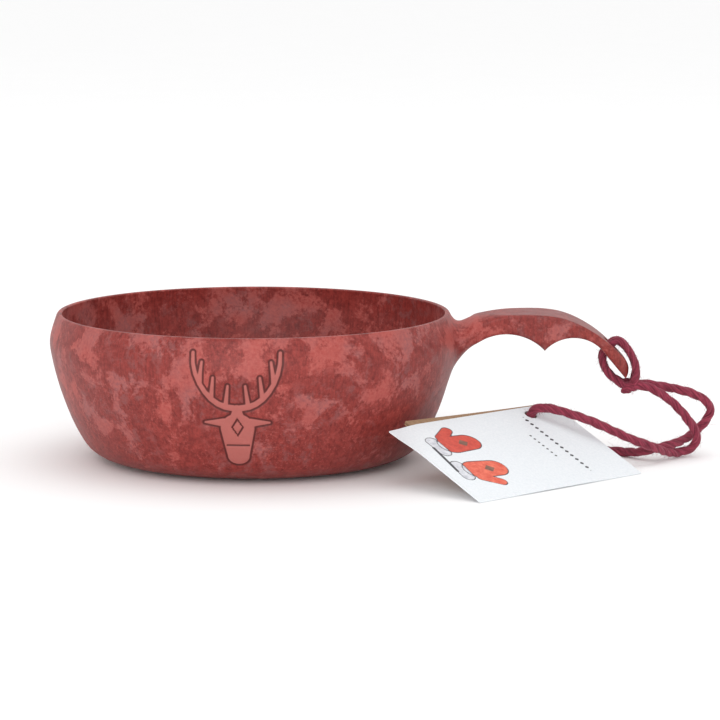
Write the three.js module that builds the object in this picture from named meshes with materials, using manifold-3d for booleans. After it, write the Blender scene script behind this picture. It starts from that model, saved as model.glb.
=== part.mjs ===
// A shallow drinking bowl with a finger-grooved handle, after the carved northern kuksa,
// moulded in one piece from wood fibre and resin. A yarn loop is hitched through the hole
// at the handle's end, and a white swing card and a folded kraft leaflet hang on the loop.
// Millimetres, +Z up. The origin is the centre of the base, and the handle points along +X.

import * as THREE from "three";
import { mergeVertices } from "three/addons/utils/BufferGeometryUtils.js";
import Module from "manifold-3d";

const wasm = await Module();
wasm.setup();

// Driving dimensions.

// Bowl
const BELLY_RADIUS = 71.2; // the widest place of the outside
const RIM_HEIGHT = 51.5;
const BELLY_DROP = 8.5; // the belly is this far below the rim
const BELLY_HEIGHT = RIM_HEIGHT - BELLY_DROP;
const RIM_INSET = 2.5; // the rim's outer edge is this far inside the belly
const RIM_OUTER_RADIUS = BELLY_RADIUS - RIM_INSET;
const RIM_LAND = 1.7; // the flat on top of the rim
const BASE_RADIUS = 43; // the flat that the bowl stands on
const WALL = 4;
const FLOOR_THICKNESS = 4.6;
const BOWL_SIDES = 72;

// Handle, measured outward from the belly and down from the rim
const HANDLE_REACH = 60.3;
const TIP_TO_SECOND_GROOVE = 19.7; // from the tip in to the middle of the second groove
const HANDLE_ROOT = 12; // how far the handle's body runs back into the wall
const SADDLE_DROP = 2.4; // the dip between the rim and the thumb rest
const NECK_HALF_WIDTH = 9.8;
const THUMB_REST_HALF_WIDTH = 11;
const TIP_DROP = 23.1; // how far the underside of the tip hangs below the rim
const FIRST_GROOVE = { out: 17.3, down: 25.3, radius: 18.3 };
const SECOND_GROOVE = { out: HANDLE_REACH - TIP_TO_SECOND_GROOVE, down: 21.5, radius: 13.4 };
const TIP_BLEND_ANGLE = 0.75; // the second groove runs out to the tip from here
const WALL_BLEND_ANGLE = 2.88; // the first groove runs into the wall from here
const GROOVE_STEPS = 10;

// Yarn loop
const CORD_DIAMETER = 3;
const CORD_SIDES = 8;
const STRAND_GAP = 0.5; // air between the two strands of the hitch
const HITCH_SPREAD = (CORD_DIAMETER + STRAND_GAP) / 2; // from a strand to the middle plane
const KNOT_AT = { x: 131.9, z: 24.9 }; // chosen with the routes' points
const KNOT_RADIUS = 3.3;
const KNOT_HALF_HEIGHT = 2.9;

// Cord hole through the handle's tip, which both strands pass through
const CORD_HOLE_CLEARANCE = 0.45;
const CORD_HOLE_RADIUS = HITCH_SPREAD + CORD_DIAMETER / 2 + CORD_HOLE_CLEARANCE;
const TIP_TO_CORD_HOLE = 7.2;
const CORD_HOLE_DOWN = 12.6;
const CORD_HOLE_TILT = Math.PI / 4; // its axis leans out from the vertical
const CORD_HOLE_SIDES = 24;

// Cards
const CARD_THICKNESS = 0.5;
const CARD_GAP = 0.35; // air between one card and the next
const CARD_HOLE_CLEARANCE = 0.8; // between the cord and the rim of its hole
const CARD_HOLE_RADIUS = CORD_DIAMETER / 2 + CARD_HOLE_CLEARANCE;
const CARD_HOLE_SIDES = 20;
const CARD_HEADING = 0.7495; // the long edges run this far round from +X, in radians
const CARD_SLOPE = 0.4155; // the cards lean this far up from the floor, in radians
const CARD_HOLE_OUT = 25.4; // from the belly to the holes, along the handle
const CARD_HOLE_ASIDE = 15.9;
const CARD_HOLE_HEIGHT = 17.3;
// How far each card reaches from the middle of its hole: towards the bowl, away from it,
// up the slope and down the slope.
const WHITE_CARD = { inward: 63.1, outward: 14.8, up: 4.8, down: 42.1 };
const KRAFT_LEAF = { inward: 52.6, outward: 14, up: 8.8, down: 37.4 };
const FOLD_CLEARANCE = 1.1; // the lower leaf stops this far short of the fold

// Small helpers.

// A closed geometry as a manifold-3d solid. Only positions count, and shared corners are merged.
function solidFrom(geometry) {
  const bare = geometry.index ? geometry.toNonIndexed() : geometry.clone();
  bare.deleteAttribute("normal");
  bare.deleteAttribute("uv");
  const merged = mergeVertices(bare, 1e-4);
  return new wasm.Manifold(
    new wasm.Mesh({
      numProp: 3,
      vertProperties: merged.attributes.position.array,
      triVerts: new Uint32Array(merged.index.array),
    }),
  );
}

function geometryFrom(solid) {
  const { vertProperties, triVerts } = solid.getMesh();
  const geometry = new THREE.BufferGeometry();
  geometry.setAttribute("position", new THREE.BufferAttribute(vertProperties, 3));
  geometry.setIndex(new THREE.BufferAttribute(triVerts, 1));
  geometry.computeVertexNormals();
  return geometry;
}

function turned(profile) {
  const geometry = new THREE.LatheGeometry(profile, BOWL_SIDES);
  return geometry.rotateX(Math.PI / 2);
}

// A tube of the cord's diameter along a smooth curve through the points.
function cordAlong(points, steps) {
  const radius = CORD_DIAMETER / 2;
  const section = new THREE.Shape();
  for (let i = 0; i < CORD_SIDES; i++) {
    const angle = (i / CORD_SIDES) * 2 * Math.PI;
    const corner = [radius * Math.cos(angle), radius * Math.sin(angle)];
    if (i === 0) section.moveTo(...corner);
    else section.lineTo(...corner);
  }
  const route = new THREE.CatmullRomCurve3(points.map((p) => new THREE.Vector3(...p)));
  return new THREE.ExtrudeGeometry(section, { steps, extrudePath: route });
}

function named(name, geometry, material) {
  const mesh = new THREE.Mesh(geometry, material);
  mesh.name = name;
  return mesh;
}

// Bowl.

// The outside of the wall from the base to the rim, as radius and height.
function outsideProfile() {
  const flare = BELLY_RADIUS - BASE_RADIUS;
  const flank = new THREE.SplineCurve([
    new THREE.Vector2(BASE_RADIUS, 0),
    new THREE.Vector2(BASE_RADIUS + flare * 0.3227, BELLY_HEIGHT * 0.036),
    new THREE.Vector2(BASE_RADIUS + flare * 0.5035, BELLY_HEIGHT * 0.095),
    new THREE.Vector2(BASE_RADIUS + flare * 0.6206, BELLY_HEIGHT * 0.19),
    new THREE.Vector2(BASE_RADIUS + flare * 0.7518, BELLY_HEIGHT * 0.36),
    new THREE.Vector2(BASE_RADIUS + flare * 0.8865, BELLY_HEIGHT * 0.6),
    new THREE.Vector2(BASE_RADIUS + flare * 0.9787, BELLY_HEIGHT * 0.84),
    new THREE.Vector2(BELLY_RADIUS, BELLY_HEIGHT),
    new THREE.Vector2(RIM_OUTER_RADIUS, RIM_HEIGHT),
  ]);
  return flank.getPoints(24);
}

function bowlOutside() {
  const top = new THREE.Vector2(0, RIM_HEIGHT);
  return turned([new THREE.Vector2(0, 0), ...outsideProfile(), top]);
}

// The hollow, cut a little past the rim so that it opens cleanly.
function bowlInside() {
  const rimRadius = RIM_OUTER_RADIUS - RIM_LAND;
  const flare = BELLY_RADIUS - BASE_RADIUS;
  const lining = new THREE.SplineCurve([
    new THREE.Vector2(BASE_RADIUS - WALL - 2, FLOOR_THICKNESS),
    new THREE.Vector2(BASE_RADIUS - WALL + flare * 0.4504, FLOOR_THICKNESS + 2.6),
    new THREE.Vector2(BASE_RADIUS - WALL + flare * 0.7305, FLOOR_THICKNESS + 11),
    new THREE.Vector2(BASE_RADIUS - WALL + flare * 0.9149, (FLOOR_THICKNESS + BELLY_HEIGHT) * 0.62),
    new THREE.Vector2(BELLY_RADIUS - WALL, BELLY_HEIGHT),
    new THREE.Vector2(rimRadius, RIM_HEIGHT),
  ]);
  return turned([
    new THREE.Vector2(0, FLOOR_THICKNESS),
    ...lining.getPoints(15),
    new THREE.Vector2(rimRadius, RIM_HEIGHT + 1),
    new THREE.Vector2(0, RIM_HEIGHT + 1),
  ]);
}

// Handle.

// Where the two finger grooves meet, in the handle's middle plane. Grooves that are too far
// apart to meet end on the line between their middles, with a land between them.
function grooveCusp() {
  const from = new THREE.Vector2(FIRST_GROOVE.out, -FIRST_GROOVE.down);
  const to = new THREE.Vector2(SECOND_GROOVE.out, -SECOND_GROOVE.down);
  const between = to.clone().sub(from);
  const distance = between.length();
  const radii = FIRST_GROOVE.radius ** 2 - SECOND_GROOVE.radius ** 2;
  const along = (radii + distance ** 2) / (2 * distance);
  const aside = Math.sqrt(Math.max(0, FIRST_GROOVE.radius ** 2 - along ** 2));
  const direction = between.normalize();
  const sideways = new THREE.Vector2(-direction.y, direction.x);
  return from.addScaledVector(direction, along).addScaledVector(sideways, aside);
}

// The points of a groove's arc, from one angle to another.
function grooveArc(groove, fromAngle, toAngle) {
  const arc = new THREE.EllipseCurve(
    groove.out, -groove.down, groove.radius, groove.radius, fromAngle, toAngle, false,
  );
  return arc.getPoints(GROOVE_STEPS);
}

// The handle seen from the side. It starts inside the bowl's wall.
function handleSide() {
  const cusp = grooveCusp();
  const angleAt = (groove) => Math.atan2(cusp.y + groove.down, cusp.x - groove.out);
  const tip = new THREE.Vector2(HANDLE_REACH - 1.1, -TIP_DROP);
  const top = [
    new THREE.Vector2(-HANDLE_ROOT, -SADDLE_DROP - 1.5),
    new THREE.Vector2(2.4, -SADDLE_DROP),
    new THREE.Vector2(8, -0.8),
    new THREE.Vector2(16.4, -0.1),
    new THREE.Vector2(HANDLE_REACH - 29.8, -0.1),
    new THREE.Vector2(HANDLE_REACH - 20.4, -2.1),
    new THREE.Vector2(HANDLE_REACH - 10.9, -7.3),
    new THREE.Vector2(HANDLE_REACH - 2.5, -14.9),
    new THREE.Vector2(HANDLE_REACH - 0.1, -18.6),
    new THREE.Vector2(HANDLE_REACH, -21.4),
  ];
  const outline = [
    ...new THREE.SplineCurve(top).getPoints(32),
    tip,
    ...grooveArc(SECOND_GROOVE, TIP_BLEND_ANGLE, angleAt(SECOND_GROOVE)),
    ...grooveArc(FIRST_GROOVE, angleAt(FIRST_GROOVE), WALL_BLEND_ANGLE).slice(1),
    new THREE.Vector2(-HANDLE_ROOT, -FIRST_GROOVE.down - 4),
  ];
  const geometry = new THREE.ExtrudeGeometry(new THREE.Shape(outline.reverse()), {
    depth: 2 * BELLY_RADIUS,
    bevelEnabled: false,
  });
  geometry.rotateX(Math.PI / 2);
  return geometry.translate(BELLY_RADIUS, BELLY_RADIUS, RIM_HEIGHT);
}

// The handle seen from above: flared into the wall, waisted at the neck and round at the tip.
function handlePlan() {
  const side = new THREE.SplineCurve([
    new THREE.Vector2(-HANDLE_ROOT, NECK_HALF_WIDTH + 14),
    new THREE.Vector2(-1.5, NECK_HALF_WIDTH + 4.4),
    new THREE.Vector2(6, NECK_HALF_WIDTH + 0.6),
    new THREE.Vector2(14, NECK_HALF_WIDTH),
    new THREE.Vector2(HANDLE_REACH - 30, THUMB_REST_HALF_WIDTH - 0.3),
    new THREE.Vector2(HANDLE_REACH - 18, THUMB_REST_HALF_WIDTH),
    new THREE.Vector2(HANDLE_REACH - 8, THUMB_REST_HALF_WIDTH * 0.87),
    new THREE.Vector2(HANDLE_REACH - 2, THUMB_REST_HALF_WIDTH * 0.55),
    new THREE.Vector2(HANDLE_REACH, THUMB_REST_HALF_WIDTH * 0.18),
  ]).getPoints(24);
  const mirrored = side.map((p) => new THREE.Vector2(p.x, -p.y)).reverse();
  const geometry = new THREE.ExtrudeGeometry(new THREE.Shape([...side, ...mirrored].reverse()), {
    depth: RIM_HEIGHT,
    bevelEnabled: false,
  });
  return geometry.translate(BELLY_RADIUS, 0, 0.5);
}

function cordHole() {
  const drill = new THREE.CylinderGeometry(
    CORD_HOLE_RADIUS, CORD_HOLE_RADIUS, 20, CORD_HOLE_SIDES,
  );
  drill.rotateX(Math.PI / 2);
  drill.rotateY(CORD_HOLE_TILT);
  const out = HANDLE_REACH - TIP_TO_CORD_HOLE;
  return drill.translate(BELLY_RADIUS + out, 0, RIM_HEIGHT - CORD_HOLE_DOWN);
}

function cupBody() {
  const handle = solidFrom(handleSide()).intersect(solidFrom(handlePlan()));
  return geometryFrom(
    solidFrom(bowlOutside())
      .add(handle)
      .subtract(solidFrom(bowlInside()))
      .subtract(solidFrom(cordHole())),
  );
}

// Yarn loop.

// One strand of the hitch: up from the knot, over the end of the handle, down through the
// hole and back along the underside to the knot.
const HITCH_ROUTE = [
  [133.9, 27.8],
  [134.3, 30.4],
  [133.8, 33.4],
  [132.2, 36.9],
  [129.9, 40.0],
  [127.4, 41.4],
  [125.5, 40.4],
  [124.1, 38.7],
  [122.7, 36.9],
  [122.5, 34.4],
  [123.7, 31.2],
  [125.7, 28.7],
  [128.4, 26.8],
];

// The loop: out of the knot, round to the right, down to the floor, over the cards' edge and
// down through their holes, then along the floor and back up to the knot.
const LOOP_ROUTE = [
  [135.7, -1.7, 25.6],
  [139.7, -2.2, 24.6],
  [143.6, -2.6, 22.4],
  [147.5, -3, 19.4],
  [150.7, -3, 16.1],
  [153.4, -2.8, 12.6],
  [155.3, -2, 9.4],
  [155.9, -1, 6.2],
  [154.4, -0.2, 3.2],
  [150.2, -1.5, 1.9],
  [145.2, -7.2, 2.9],
  [140.8, -13.6, 5.3],
  [136.3, -17.6, 7.5],
  [131.2, -19.6, 9.7],
  [124.2, -19.8, 12.9],
  [117.2, -19, 15.9],
  [110.4, -18, 18.1],
  [104.6, -17, 19.6],
  [100, -16.6, 20],
  [97.5, -16.5, 19],
  [96.6, -15.9, 17.3],
  [96, -15.2, 15.3],
  [95.1, -14.3, 11.2],
  [94.3, -13.5, 7],
  [95.2, -12.7, 3.5],
  [98.6, -11, 1.8],
  [106, -7.4, 1.7],
  [116, -2.2, 1.8],
  [122, 0.6, 2.1],
  [127, 0.6, 1.8],
  [131.5, -1.4, 1.8],
  [136, -6, 2.8],
  [141.2, -8.8, 4.5],
  [147, -4.6, 5.2],
  [151, 0, 5.8],
  [154.4, 4, 7],
  [157.4, 6, 9.1],
  [160, 7, 11.9],
  [161.4, 7, 14.8],
  [160.8, 6.6, 17.6],
  [158.2, 6, 20],
  [154, 5, 22],
  [147.5, 4, 23.8],
  [141.9, 2.7, 25],
  [137.4, 1.8, 25.7],
  [135.7, 1.7, 25.7],
];

function hitchStrand(side) {
  return cordAlong(
    HITCH_ROUTE.map(([x, z]) => [x, side * HITCH_SPREAD, z]),
    14,
  );
}

function knotLump() {
  const lump = new THREE.SphereGeometry(1, 20, 12);
  lump.rotateX(Math.PI / 2);
  lump.scale(KNOT_RADIUS, KNOT_RADIUS, KNOT_HALF_HEIGHT);
  return lump.translate(KNOT_AT.x, 0, KNOT_AT.z);
}

// Cards.

// A flat card round its hole. X runs away from the bowl and Y runs up the slope.
function cardSheet(size, shortOfFold) {
  const outline = new THREE.Shape([
    new THREE.Vector2(-size.inward, shortOfFold - size.down),
    new THREE.Vector2(size.outward, shortOfFold - size.down),
    new THREE.Vector2(size.outward, size.up),
    new THREE.Vector2(-size.inward, size.up),
  ]);
  const hole = new THREE.Path();
  hole.absarc(0, 0, CARD_HOLE_RADIUS, 0, 2 * Math.PI, true);
  outline.holes.push(hole);
  const sheet = new THREE.ExtrudeGeometry(outline, {
    depth: CARD_THICKNESS,
    bevelEnabled: false,
    curveSegments: CARD_HOLE_SIDES,
  });
  return sheet.translate(0, 0, -CARD_THICKNESS / 2);
}

// Materials, one for each piece.
const composite = new THREE.MeshStandardMaterial({ color: 0x94453f, roughness: 0.55, metalness: 0 });
const yarn = { color: 0x7d2338, roughness: 0.95, metalness: 0 };
const whiteCardboard = new THREE.MeshStandardMaterial({ color: 0xf2f4f6, roughness: 0.5, metalness: 0 });
const kraft = { color: 0x94765a, roughness: 0.85, metalness: 0 };

const root = new THREE.Group();
root.add(named("cup_body", cupBody(), composite));
root.add(named("cord_hitch_front", hitchStrand(-1), new THREE.MeshStandardMaterial(yarn)));
root.add(named("cord_hitch_back", hitchStrand(1), new THREE.MeshStandardMaterial(yarn)));
root.add(named("cord_knot", knotLump(), new THREE.MeshStandardMaterial(yarn)));
root.add(named("cord_loop", cordAlong(LOOP_ROUTE, 78), new THREE.MeshStandardMaterial(yarn)));

// The cards lie over each other round one hole, on a plane that leans up from the floor.
const cards = new THREE.Group();
cards.position.set(BELLY_RADIUS + CARD_HOLE_OUT, -CARD_HOLE_ASIDE, CARD_HOLE_HEIGHT);
cards.rotation.set(CARD_SLOPE, 0, CARD_HEADING, "ZYX");
root.add(cards);

const layerStep = CARD_THICKNESS + CARD_GAP;
const whiteCard = named("white_card", cardSheet(WHITE_CARD, 0), whiteCardboard);
const upperLeaf = named("kraft_leaf_upper", cardSheet(KRAFT_LEAF, 0), new THREE.MeshStandardMaterial(kraft));
const lowerLeaf = named(
  "kraft_leaf_lower",
  cardSheet(KRAFT_LEAF, FOLD_CLEARANCE),
  new THREE.MeshStandardMaterial(kraft),
);
upperLeaf.position.z = -layerStep;
lowerLeaf.position.z = -2 * layerStep;
cards.add(whiteCard, upperLeaf, lowerLeaf);

export default root;
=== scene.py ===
"""A northern drinking bowl moulded in one piece from wood fibre and resin, with its finger-grooved
handle, the wool loop hitched through the handle's end, and the two cards that hang on the loop.
Shapes are worked out in millimetres with +Z up, and put into the meshes in metres."""

import math

import bpy
import numpy as np
from mathutils import Matrix


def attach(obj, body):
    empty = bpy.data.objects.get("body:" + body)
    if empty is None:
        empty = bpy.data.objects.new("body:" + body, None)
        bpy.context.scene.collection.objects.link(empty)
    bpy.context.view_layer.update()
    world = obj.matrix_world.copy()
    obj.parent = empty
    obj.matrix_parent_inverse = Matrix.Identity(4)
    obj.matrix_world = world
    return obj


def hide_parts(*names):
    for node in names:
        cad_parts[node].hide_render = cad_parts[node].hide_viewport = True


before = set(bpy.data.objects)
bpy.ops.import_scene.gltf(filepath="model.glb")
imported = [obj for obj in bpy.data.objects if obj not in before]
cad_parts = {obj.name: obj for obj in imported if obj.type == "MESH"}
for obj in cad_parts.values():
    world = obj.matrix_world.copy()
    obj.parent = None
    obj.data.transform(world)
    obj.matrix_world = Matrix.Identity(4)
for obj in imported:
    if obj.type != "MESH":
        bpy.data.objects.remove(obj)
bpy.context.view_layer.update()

MM = 0.001
SEED = 7
# The bowl's mesh keeps this less the distance to the emblem, so that a join, which fills new
# corners with nought, leaves them far from it.
EMBLEM_OFFSET = 100.0


# ---------------------------------------------------------------- meshes and small numpy helpers


def unit(v):
    """Each vector divided by its own length."""
    return v / np.maximum(np.linalg.norm(v, axis=-1, keepdims=True), 1e-12)


def smoothstep(x):
    """3x^2 - 2x^3 on x held between 0 and 1."""
    x = np.clip(x, 0, 1)
    return x * x * (3 - 2 * x)


def mesh_piece(name, points, faces, body, attributes=(), smooth_under=40):
    """An object from points in millimetres and lists of faces, turned to face outwards by the sign of
    its signed volume, with sharp edges only where two faces turn by more than smooth_under degrees."""
    volume = 0.0
    for some in faces:
        corner = points[some[:, 0]]
        for k in range(1, some.shape[1] - 1):
            turn = np.cross(points[some[:, k]], points[some[:, k + 1]])
            volume += np.einsum("ij,ij->", corner, turn)
    rows = [f for some in faces for f in (some if volume > 0 else some[:, ::-1]).tolist()]
    mesh = bpy.data.meshes.new(name)
    mesh.from_pydata((points * MM).tolist(), [], rows)
    for key, values in dict(attributes).items():
        kind = "FLOAT" if values.ndim == 1 else "FLOAT_VECTOR"
        layer = mesh.attributes.new(key, kind, "POINT")
        field = "value" if values.ndim == 1 else "vector"
        layer.data.foreach_set(field, values.astype(np.float32).ravel())
    mesh.polygons.foreach_set("use_smooth", np.ones(len(mesh.polygons), bool))
    mesh.set_sharp_from_angle(angle=math.radians(smooth_under))
    mesh.update()
    made = bpy.data.objects.new(name, mesh)
    bpy.context.scene.collection.objects.link(made)
    if body:
        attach(made, body)
    return made


def grid_quads(rows, columns, closed=True, start=0):
    """The quads of a grid whose points run row by row. If closed, the last column joins the first."""
    i = np.arange(rows - 1)[:, None] * columns + start
    j = np.arange(columns if closed else columns - 1)[None, :]
    k = (j + 1) % columns
    return np.stack([i + j, i + k, i + columns + k, i + columns + j], -1).reshape(-1, 4)


def fan(ring, middle):
    """Triangles from each side of a closed ring of point numbers to one middle point."""
    return np.stack([ring, np.roll(ring, -1), np.full(len(ring), middle)], -1)


def spline(points, steps):
    """A uniform Catmull-Rom curve through the points, at steps + 1 even values of its parameter."""
    p = np.asarray(points, float)
    at = np.linspace(0, len(p) - 1, steps + 1)
    i = np.minimum(at.astype(int), len(p) - 2)
    t = (at - i)[:, None]
    before, after = p[np.maximum(i - 1, 0)], p[np.minimum(i + 2, len(p) - 1)]
    a, b = p[i], p[i + 1]
    v, w = (b - before) / 2, (after - a) / 2
    return (2 * a - 2 * b + v + w) * t**3 + (3 * b - 3 * a - 2 * v - w) * t**2 + v * t + a


def centripetal(points, steps):
    """A centripetal Catmull-Rom curve through the points: each span's end slopes come from the spans
    beside it, each weighed by the square root of its chord."""
    p = np.asarray(points, float)
    p = np.vstack([2 * p[0] - p[1], p, 2 * p[-1] - p[-2]])
    d = np.sqrt(np.linalg.norm(np.diff(p, axis=0), axis=1))[:, None]
    at = np.linspace(0, len(p) - 3, steps + 1)
    i = np.minimum(at.astype(int), len(p) - 4)
    t = (at - i)[:, None]
    a, b, c, e = p[i], p[i + 1], p[i + 2], p[i + 3]
    da, db, dc = d[i], d[i + 1], d[i + 2]
    v = ((b - a) / da - (c - a) / (da + db) + (c - b) / db) * db
    w = ((c - b) / db - (e - b) / (db + dc) + (e - c) / dc) * db
    return (2 * b - 2 * c + v + w) * t**3 + (3 * c - 3 * b - 2 * v - w) * t**2 + v * t + b


def lengths(line):
    """How far along the line each of its points is."""
    return np.r_[0, np.cumsum(np.linalg.norm(np.diff(line, axis=0), axis=1))]


def resample(line, stations):
    """Points of the line at these shares of its length."""
    far = lengths(line)
    return np.stack([np.interp(np.asarray(stations) * far[-1], far, c) for c in line.T], -1)


def by_spacing(line, spacing):
    """The line again, with its points evenly spaced, about this far apart."""
    steps = max(2, int(round(lengths(line)[-1] / spacing)))
    return resample(line, np.linspace(0, 1, steps + 1))


def carried_frames(line):
    """Two directions across the line at each point, carried along it without twisting. A fixed
    reference gives a frame at each point, and the running sum of how far the smallest turn from one
    tangent to the next takes it round is undone."""
    t = unit(np.gradient(line, axis=0))
    n = unit(np.cross(t, np.array([0.13, 0.21, 0.97])))
    b = np.cross(t, n)
    c = np.einsum("ij,ij->i", t[:-1], t[1:])[:, None]
    axis = np.cross(t[:-1], t[1:])
    lean = np.einsum("ij,ij->i", axis, n[:-1])[:, None]
    moved = n[:-1] * c + np.cross(axis, n[:-1]) + axis * lean / (1 + c)
    step = np.arctan2(np.einsum("ij,ij->i", moved, b[1:]), np.einsum("ij,ij->i", moved, n[1:]))
    turn = np.r_[0, np.cumsum(step)][:, None]
    return n * np.cos(turn) + b * np.sin(turn), -n * np.sin(turn) + b * np.cos(turn), t


# ---------------------------------------------------------------- materials


def linear(hex_colour):
    """An sRGB hex value as linear red, green, blue and alpha."""
    s = np.array([int(hex_colour[i : i + 2], 16) for i in (0, 2, 4)]) / 255
    low, high = s / 12.92, ((s + 0.055) / 1.055) ** 2.4
    return (*np.where(s <= 0.04045, low, high).tolist(), 1.0)


def add(tree, kind, inputs=None, **settings):
    """Adds one node, sets it up, and gives each input its value or its link."""
    node = tree.nodes.new(kind)
    for key, value in settings.items():
        setattr(node, key, value)
    for key, value in (inputs or {}).items():
        if isinstance(value, bpy.types.NodeSocket):
            tree.links.new(value, node.inputs[key])
        else:
            node.inputs[key].default_value = value
    return node


def new_material(name):
    """An empty material with its output node, and its tree."""
    made = bpy.data.materials.new(name)
    made.use_nodes = True
    made.node_tree.nodes.clear()
    return made, made.node_tree


def shade(tree, inputs, relief=None, strength=0.3, depth=0.1):
    """The Principled shader at the end of a material, with a bump in millimetres if relief is given."""
    if relief is not None:
        settings = {"Strength": strength, "Distance": depth * MM, "Height": relief}
        bump = add(tree, "ShaderNodeBump", settings)
        inputs = {**inputs, "Normal": bump.outputs[0]}
    shader = add(tree, "ShaderNodeBsdfPrincipled", inputs)
    add(tree, "ShaderNodeOutputMaterial", {"Surface": shader.outputs[0]})


def noise(tree, vector, per_mm, detail=4.0, roughness=0.5, distortion=0.0):
    """The value of a noise texture whose largest lumps are about 1 / per_mm millimetres across."""
    settings = {"Vector": vector, "Scale": per_mm, "Detail": detail, "Roughness": roughness}
    return add(tree, "ShaderNodeTexNoise", {**settings, "Distortion": distortion}).outputs[0]


def between(tree, value, low, high, to_low=0.0, to_high=1.0):
    """value taken from low..high to to_low..to_high, and held there."""
    inputs = {0: value, 1: low, 2: high, 3: to_low, 4: to_high}
    return add(tree, "ShaderNodeMapRange", inputs).outputs[0]


def mixed(tree, share, first, second, blend_type="MIX"):
    """Two colours mixed by a share."""
    inputs = {0: share, 6: first, 7: second}
    return add(tree, "ShaderNodeMix", inputs, data_type="RGBA", blend_type=blend_type).outputs[2]


def maths(tree, operation, first, second):
    """One sum of two numbers."""
    return add(tree, "ShaderNodeMath", {0: first, 1: second}, operation=operation).outputs[0]


def object_millimetres(tree, stretch=(1, 1, 1)):
    """Object coordinates in millimetres, squeezed along each axis by stretch."""
    place = add(tree, "ShaderNodeTexCoord").outputs["Object"]
    scale = tuple(1000 * s for s in stretch)
    return add(tree, "ShaderNodeMapping", {"Vector": place, "Scale": scale}).outputs[0]


def attribute(tree, name, output="Fac"):
    """A value kept in the piece's own mesh."""
    return add(tree, "ShaderNodeAttribute", attribute_name=name).outputs[output]


def wood_fibre_composite():
    """Moulded wood fibre and resin, as the tool left it: a satin skin, clouded where fibre-rich resin
    froze against the mould. That gives feathered pink and lilac clouds on deep red, fine streaks
    down the wall where the melt flowed, and pale flecks of fibre."""
    made, tree = new_material("moulded_wood_fibre_composite")
    place = object_millimetres(tree)
    sideways = add(tree, "ShaderNodeSeparateXYZ", {0: place})
    out, height = sideways.outputs[0], sideways.outputs[2]
    # Clouds about 13 mm across with grainy edges, most of them in the upper half of the wall.
    cloud = noise(tree, place, 0.075, 9, 0.64, 0.4)
    grainy = noise(tree, place, 0.9, 4, 0.65)
    cloud = maths(tree, "ADD", cloud, between(tree, grainy, 0.25, 0.75, -0.05, 0.05))
    cloud = maths(tree, "ADD", cloud, between(tree, height, 10, 36, -0.055, 0.02))
    # The handle has few of them.
    cloud = maths(tree, "ADD", cloud, between(tree, out, 74, 86, 0, -0.08))
    large = between(tree, cloud, 0.51, 0.575)
    small = between(tree, noise(tree, place, 0.24, 8, 0.74, 0.3), 0.5, 0.6)
    tint = between(tree, noise(tree, place, 0.06, 3), 0.42, 0.6)
    veil = between(tree, noise(tree, place, 0.5, 6, 0.74), 0.38, 0.62)
    # Flow streaks 0.7 mm wide and 12 mm long down the wall, and flecks 0.8 mm across.
    streak = noise(tree, object_millimetres(tree, (1.5, 1.5, 0.085)), 1.0, 5, 0.65)
    fleck = between(tree, noise(tree, place, 1.3, 3, 0.6), 0.56, 0.68)
    sparse = between(tree, noise(tree, place, 0.09, 3), 0.4, 0.56)
    low_down = between(tree, height, 8, 40, 1.0, 0.5)

    base = mixed(tree, veil, linear("691A17"), linear("8C332D"))
    base = mixed(tree, between(tree, streak, 0.35, 0.7, 0, 0.35), base, linear("9C3831"))
    base = mixed(tree, between(tree, streak, 0.58, 0.4, 0, 0.3), base, linear("571411"))
    cloud_tone = mixed(tree, tint, linear("A54640"), linear("8B5455"))
    cloud_tone = mixed(tree, between(tree, grainy, 0.35, 0.65, 0, 0.75), cloud_tone, linear("B9625A"))
    dusty = mixed(tree, tint, linear("9C3C35"), linear("855150"))
    base = mixed(tree, maths(tree, "MULTIPLY", small, 0.5), base, dusty)
    base = mixed(tree, maths(tree, "MULTIPLY", large, 0.72), base, cloud_tone)
    flecks = maths(tree, "MULTIPLY", maths(tree, "MULTIPLY", fleck, sparse), low_down)
    base = mixed(tree, maths(tree, "MULTIPLY", flecks, 0.6), base, linear("B45850"))
    # The pressed emblem: its flats are even and pale, and its outline is dark in the groove.
    away = maths(tree, "SUBTRACT", EMBLEM_OFFSET, attribute(tree, "emblem_near"))
    flat = between(tree, away, -0.28, -0.12, 1, 0)
    from_outline = add(tree, "ShaderNodeMath", {0: away}, operation="ABSOLUTE").outputs[0]
    line = between(tree, from_outline, 0.24, 0.48, 1, 0)
    base = mixed(tree, maths(tree, "MULTIPLY", flat, 0.8), base, linear("AF625B"))
    base = mixed(tree, maths(tree, "MULTIPLY", line, 0.9), base, linear("4A0E0C"))

    grain = noise(tree, place, 2.4, 4, 0.6)
    relief = maths(tree, "ADD", maths(tree, "MULTIPLY", streak, 0.6), grain)
    gloss = between(tree, cloud, 0.4, 0.65, 0.44, 0.56)
    inputs = {"Base Color": base, "Roughness": gloss, "IOR": 1.5, "Specular IOR Level": 0.35}
    shade(tree, inputs, relief, 0.22, 0.09)
    return made


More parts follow.
